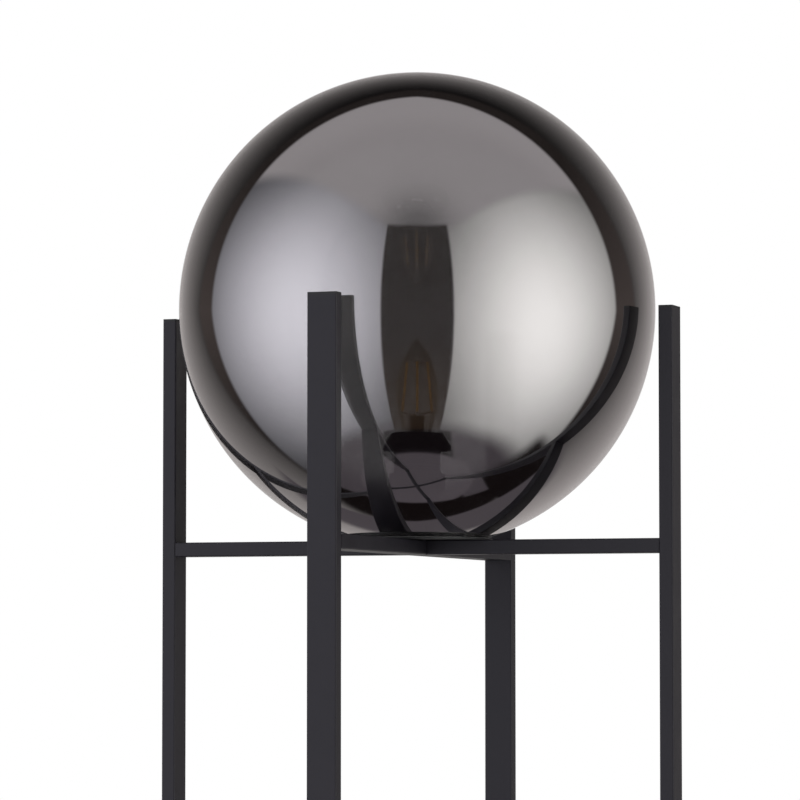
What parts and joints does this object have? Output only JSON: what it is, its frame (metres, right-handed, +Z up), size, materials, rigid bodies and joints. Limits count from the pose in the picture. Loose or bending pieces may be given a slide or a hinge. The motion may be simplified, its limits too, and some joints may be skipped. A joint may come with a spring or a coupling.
{
  "type": "floor lamp",
  "caption": "Floor lamp with a half-mirrored glass globe resting on crossed flat bars between tall straight legs of black rectangular tube, with a screw-in filament bulb inside the globe.",
  "frame": {"origin": "on the floor, on the vertical axis through the centre of the globe", "axes": "+Z up; front leg towards -Y, right leg towards +X, rear leg with the cord grommet towards +Y, left leg towards -X"},
  "size_m": [0.452, 0.4528, 1.5],
  "materials": {
    "frame_steel": "satin black powder coat",
    "seat_steel": "satin black paint",
    "plug_plastic": "moulded black polyethylene, fine matt grain",
    "foot_plastic": "moulded black polyethylene",
    "black_rubber": "matt moulded rubber",
    "silicone": "translucent silicone",
    "zinc_steel": "zinc plated",
    "brass": "plain sheet and turned brass",
    "holder_black": "moulded black thermoset, slight sheen",
    "white_ceramic": "unglazed porcelain",
    "nickel": "nickel-plated sheet",
    "solder": "dull solder",
    "black_glass": "fused dark insulator",
    "board_green": "coated circuit board",
    "bulb_glass": "clear thin blown glass",
    "filament_amber": "amber phosphor coating on the sticks",
    "support_wire": "bare wire",
    "mirror_glass": "blown glass with a thin half-mirror metal coat, smoky"
  },
  "bodies": {
    "frame": {"centre_contact": "brass", "contact_block": "white_ceramic", "cord_grommet": "black_rubber", "earth_screw": "zinc_steel", "earth_washer": "zinc_steel", "foot_front": "foot_plastic", "foot_left": "foot_plastic", "foot_rear": "foot_plastic", "foot_right": "foot_plastic", "globe_gasket": "silicone", "globe_seat": "seat_steel", "holder_cap": "holder_black", "holder_set_screw": "zinc_steel", "holder_shell": "holder_black", "leg_front": "frame_steel", "leg_left": "frame_steel", "leg_rear": "frame_steel", "leg_right": "frame_steel", "lower_arm_front": "frame_steel", "lower_arm_rear": "frame_steel", "lower_crossbar": "frame_steel", "seat_nut": "zinc_steel", "seat_screw": "zinc_steel", "seat_washer": "zinc_steel", "shade_ring": "holder_black", "side_contact": "brass", "spacer_sleeve": "zinc_steel", "terminal_screws": "brass", "threaded_tube": "zinc_steel", "top_plug_front": "plug_plastic", "top_plug_left": "plug_plastic", "top_plug_rear": "plug_plastic", "top_plug_right": "plug_plastic", "upper_arm_front": "frame_steel", "upper_arm_rear": "frame_steel", "upper_crossbar": "frame_steel", "weld_nut": "zinc_steel"},
    "globe": {"globe": "mirror_glass"},
    "bulb_end": {"bulb_insulator": "black_glass", "bulb_tip_contact": "solder"},
    "bulb": {"bulb_cap": "nickel", "bulb_driver": "board_green", "bulb_glass": "bulb_glass", "bulb_stem": "bulb_glass", "filaments": "filament_amber", "filament_supports": "support_wire"}
  },
  "joints": [
    {"name": "globe_lift", "type": "slide", "parent": "frame", "child": "globe", "axis": [0, 0, 1], "range_m": [0, 0.35]},
    {"name": "bulb_rise", "type": "slide", "parent": "frame", "child": "bulb_end", "axis": [0, 0, 1], "range_m": [0, 0.0182]},
    {"name": "bulb_turn", "type": "hinge", "parent": "bulb_end", "child": "bulb", "pos_m": [0, 0, 1.165], "axis": [0, 0, 1], "range_deg": [0, 1800]}
  ],
  "couplings": [
    {"joint": "bulb_rise", "follows": "bulb_turn", "m_per_rad": 0.00057773}
  ]
}
